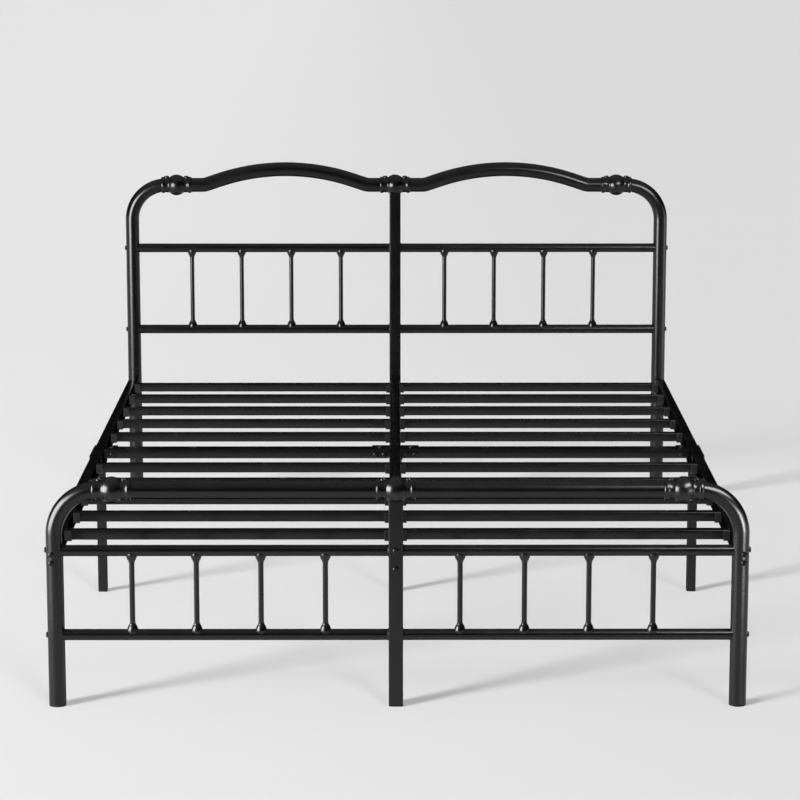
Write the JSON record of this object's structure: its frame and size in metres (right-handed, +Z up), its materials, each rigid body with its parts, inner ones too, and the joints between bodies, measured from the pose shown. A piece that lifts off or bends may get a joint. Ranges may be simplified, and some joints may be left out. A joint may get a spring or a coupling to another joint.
{
  "type": "metal bed frame",
  "caption": "Black steel bed frame with an arched headboard, a low footboard, round ball joints, spindles, side and centre rails, and tubular slats.",
  "frame": {"origin": "on the floor, under the middle of the frame's overall length and width", "axes": "+X to the right seen from the foot end, +Y from the footboard to the headboard, +Z up"},
  "size_m": [1.565, 2.1292, 0.9925],
  "materials": {
    "black_powder_coat": "satin black powder coat with a fine orange-peel grain",
    "cast_black": "semi-gloss black paint on castings",
    "black_fasteners": "black oxide, semi-gloss",
    "bare_steel": "plain drawn steel, hidden inside the tubes",
    "black_plastic": "matte moulded black plastic"
  },
  "bodies": {
    "root": {"centre_crossbar_brackets": "black_powder_coat", "centre_joint_sleeve": "black_powder_coat", "centre_middle_leg": "black_powder_coat", "centre_rail_bolts": "black_fasteners", "centre_rail_end_plates": "black_powder_coat", "centre_rail_front": "black_powder_coat", "centre_rail_rear": "black_powder_coat", "centre_slat_holders": "black_plastic", "collar_screws": "black_fasteners", "crossbar_bolts": "black_fasteners", "foot_caps": "black_plastic", "footboard_centre_ball": "cast_black", "footboard_centre_post": "black_powder_coat", "footboard_knuckles": "cast_black", "footboard_left_ball": "cast_black", "footboard_left_lower_rail": "black_powder_coat", "footboard_left_post": "black_powder_coat", "footboard_left_top_tube": "black_powder_coat", "footboard_left_upper_rail": "black_powder_coat", "footboard_right_ball": "cast_black", "footboard_right_lower_rail": "black_powder_coat", "footboard_right_post": "black_powder_coat", "footboard_right_top_tube": "black_powder_coat", "footboard_right_upper_rail": "black_powder_coat", "footboard_spindles": "black_powder_coat", "headboard_centre_ball": "cast_black", "headboard_centre_post": "black_powder_coat", "headboard_knuckles": "cast_black", "headboard_left_arch": "black_powder_coat", "headboard_left_ball": "cast_black", "headboard_left_lower_rail": "black_powder_coat", "headboard_left_post": "black_powder_coat", "headboard_left_upper_rail": "black_powder_coat", "headboard_right_arch": "black_powder_coat", "headboard_right_ball": "cast_black", "headboard_right_lower_rail": "black_powder_coat", "headboard_right_post": "black_powder_coat", "headboard_right_upper_rail": "black_powder_coat", "headboard_spindles": "black_powder_coat", "joint_sleeve_bolts": "black_fasteners", "left_joint_sleeve": "black_powder_coat", "left_mid_crossbar": "black_powder_coat", "left_middle_leg": "black_powder_coat", "left_side_rail_front": "black_powder_coat", "left_side_rail_rear": "black_powder_coat", "left_slats": "black_powder_coat", "rail_bolts": "black_fasteners", "rail_inserts": "bare_steel", "right_joint_sleeve": "black_powder_coat", "right_mid_crossbar": "black_powder_coat", "right_middle_leg": "black_powder_coat", "right_side_rail_front": "black_powder_coat", "right_side_rail_rear": "black_powder_coat", "right_slats": "black_powder_coat", "side_crossbar_brackets": "black_powder_coat", "side_rail_bolts": "black_fasteners", "side_rail_end_blocks": "cast_black", "side_slat_holders": "black_plastic", "spigots": "bare_steel"}
  },
  "joints": []
}
